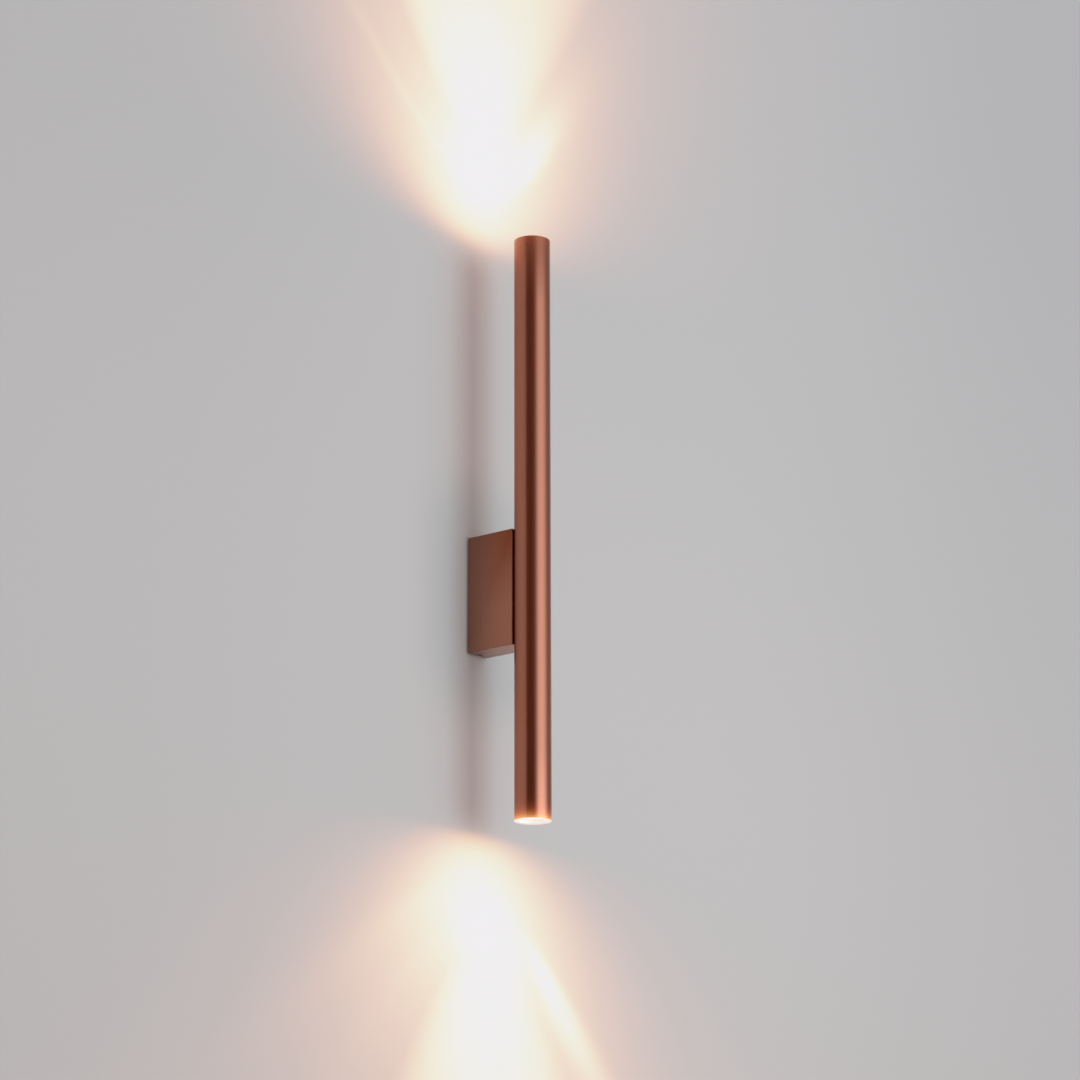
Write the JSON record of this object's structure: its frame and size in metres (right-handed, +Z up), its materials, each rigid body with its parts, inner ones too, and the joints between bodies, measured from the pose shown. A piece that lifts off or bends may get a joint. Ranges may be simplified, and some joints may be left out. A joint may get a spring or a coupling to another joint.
{
  "type": "tube wall light",
  "caption": "Slim round tube wall light that shines up and down, held off the wall by a narrow box on a hidden bracket.",
  "frame": {"origin": "middle of the wall bracket's back face, on the wall's surface, level with the middle of the box", "axes": "+Y points into the wall, +Z up along the tube, +X to the right for someone who faces the wall"},
  "size_m": [0.03, 0.074, 0.49],
  "materials": {
    "copper_lacquer": "satin metallic copper lacquer, fine flake",
    "zinc_plated_steel": "zinc plated, dull silver",
    "screw_steel": "bright zinc plated",
    "blackened_steel": "black oxide",
    "black_rubber": "soft matt rubber",
    "white_nylon": "natural nylon",
    "driver_plastic": "moulded, fine spark texture",
    "foam_tape": "adhesive foam",
    "circuit_board": "green solder mask",
    "winding_tape": "yellow winding tape",
    "ferrite": "dull dark grey",
    "capacitor_sleeve": "shrunk sleeve",
    "terminal_plastic": "moulded white",
    "brass": "bright",
    "brown_lead": "silicone insulation",
    "blue_lead": "silicone insulation",
    "red_lead": "silicone insulation",
    "black_lead": "silicone insulation",
    "bare_aluminium": "fine turned",
    "thermal_silicone": "soft pad",
    "white_board": "white solder mask on aluminium",
    "phosphor": "yellow phosphor",
    "bright_reflector": "aluminised",
    "opal_diffuser": "frosted",
    "white_ring": "smooth white"
  },
  "bodies": {
    "wall_bracket": {"wall_bracket": "zinc_plated_steel", "cable_grommet": "black_rubber"},
    "light_body": {"tube": "copper_lacquer", "wall_box": "copper_lacquer", "clamp_bar": "zinc_plated_steel", "tube_screws": "screw_steel", "wire_bush": "white_nylon", "driver_case": "driver_plastic", "driver_lid": "driver_plastic", "driver_tape": "foam_tape", "driver_board": "circuit_board", "driver_transformer": "winding_tape", "driver_capacitors": "capacitor_sleeve", "driver_choke": "ferrite", "terminal_block": "terminal_plastic", "terminal_clamps": "brass", "terminal_pad": "foam_tape", "live_lead": "brown_lead", "neutral_lead": "blue_lead", "upper_lead_red": "red_lead", "upper_lead_black": "black_lead", "upper_end_ring": "white_ring", "upper_diffuser": "opal_diffuser", "upper_reflector": "bright_reflector", "upper_led_emitter": "phosphor", "upper_led_board": "white_board", "upper_board_screws": "screw_steel", "upper_thermal_pad": "thermal_silicone", "upper_heat_sink": "bare_aluminium", "upper_module_screw": "blackened_steel", "lower_lead_red": "red_lead", "lower_lead_black": "black_lead", "lower_end_ring": "white_ring", "lower_diffuser": "opal_diffuser", "lower_reflector": "bright_reflector", "lower_led_emitter": "phosphor", "lower_led_board": "white_board", "lower_board_screws": "screw_steel", "lower_thermal_pad": "thermal_silicone", "lower_heat_sink": "bare_aluminium", "lower_module_screw": "blackened_steel"},
    "lock_screw": {"lock_screw": "blackened_steel"}
  },
  "joints": [
    {"name": "light_body_slide", "type": "slide", "parent": "wall_bracket", "child": "light_body", "axis": [0, -1, 0], "range_m": [0, 0.012]},
    {"name": "lock_screw_travel", "type": "slide", "parent": "light_body", "child": "lock_screw", "axis": [0, 0, -1], "range_m": [0, 0.003]}
  ]
}
